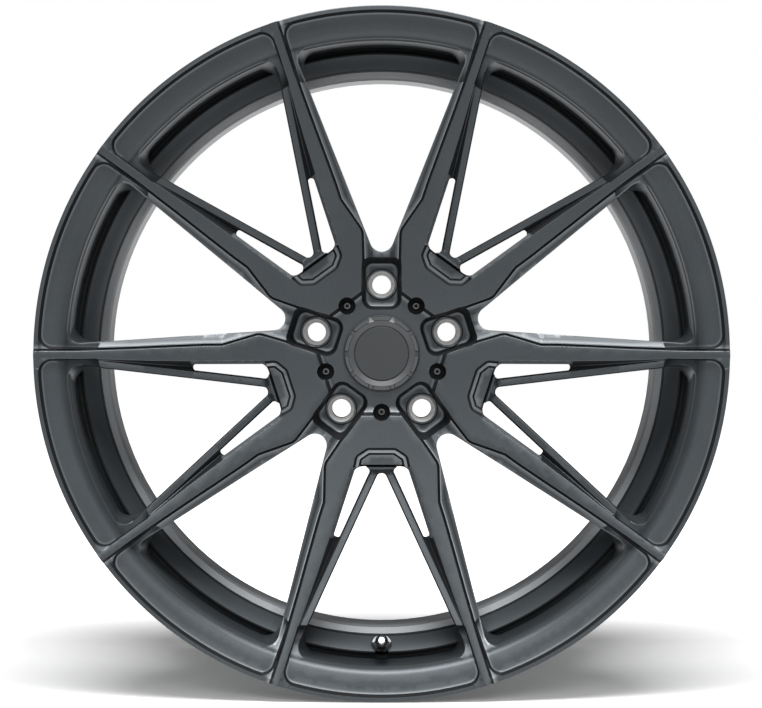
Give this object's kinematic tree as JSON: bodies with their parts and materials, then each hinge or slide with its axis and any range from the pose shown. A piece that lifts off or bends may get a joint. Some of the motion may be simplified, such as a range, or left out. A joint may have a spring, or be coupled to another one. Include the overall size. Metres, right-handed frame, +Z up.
{
  "type": "forged racing wheel rim",
  "caption": "Dished road-racing wheel rim with paired forged spokes, thin inner struts, welded barrel, lug seats, snap-in centre cap and metal tyre valve.",
  "frame": {"origin": "on the wheel's axis, at the hub mounting face and the centre of the lug circle", "axes": "+Y inboard along the wheel's axis, so the dished face looks to -Y; +Z up with the valve at the bottom; +X to the right of someone looking at the face"},
  "size_m": [0.5488, 0.2558, 0.5478],
  "materials": {
    "face_paint": "satin anthracite powder coat over forged and machined aluminium",
    "barrel_paint": "satin anthracite powder coat over the spun barrel",
    "seat_steel": "bare turned steel, bright",
    "screw_steel": "zinc-nickel plated steel, grey",
    "cap_plastic": "moulded nylon, painted satin anthracite",
    "spring_steel": "drawn spring wire",
    "valve_black": "black anodised aluminium",
    "valve_rubber": "black rubber",
    "valve_washer": "plated steel",
    "core_brass": "turned brass",
    "valve_chrome": "bright nickel plate"
  },
  "bodies": {
    "wheel": {"face_forging": "face_paint", "inner_barrel": "barrel_paint", "barrel_weld": "barrel_paint", "lug_seat_1": "seat_steel", "lug_seat_2": "seat_steel", "lug_seat_3": "seat_steel", "lug_seat_4": "seat_steel", "lug_seat_5": "seat_steel", "hub_screws": "screw_steel", "valve_stem": "valve_black", "valve_grommet": "valve_rubber", "valve_washer": "valve_washer", "valve_nut": "valve_black", "valve_core_body": "core_brass", "valve_core_spring": "spring_steel"},
    "centre_cap": {"cap_body": "cap_plastic", "cap_crown_ring": "cap_plastic", "cap_disc": "cap_plastic", "cap_spring_ring": "spring_steel"},
    "core_pin": {"valve_core_pin": "core_brass"},
    "dust_cap_seal": {"valve_cap_seal": "valve_rubber"},
    "dust_cap": {"valve_cap": "valve_chrome"}
  },
  "joints": [
    {"name": "centre_cap_pull", "type": "slide", "parent": "wheel", "child": "centre_cap", "axis": [0, -1, 0], "range_m": [0, 0.05]},
    {"name": "valve_pin_press", "type": "slide", "parent": "wheel", "child": "core_pin", "axis": [0, 0.9703, -0.2419], "range_m": [0, 0.0015], "stiffness_N_per_m": 100},
    {"name": "dust_cap_lift", "type": "slide", "parent": "wheel", "child": "dust_cap_seal", "axis": [0, -0.9703, 0.2419], "range_m": [0, 0.0088]},
    {"name": "dust_cap_turn", "type": "hinge", "parent": "dust_cap_seal", "child": "dust_cap", "pos_m": [0, -0.0373, -0.2366], "axis": [0, -0.9703, 0.2419], "range_deg": [0, 3996]}
  ],
  "couplings": [
    {"joint": "dust_cap_turn", "follows": "dust_cap_lift", "rad_per_m": 7913.3}
  ]
}
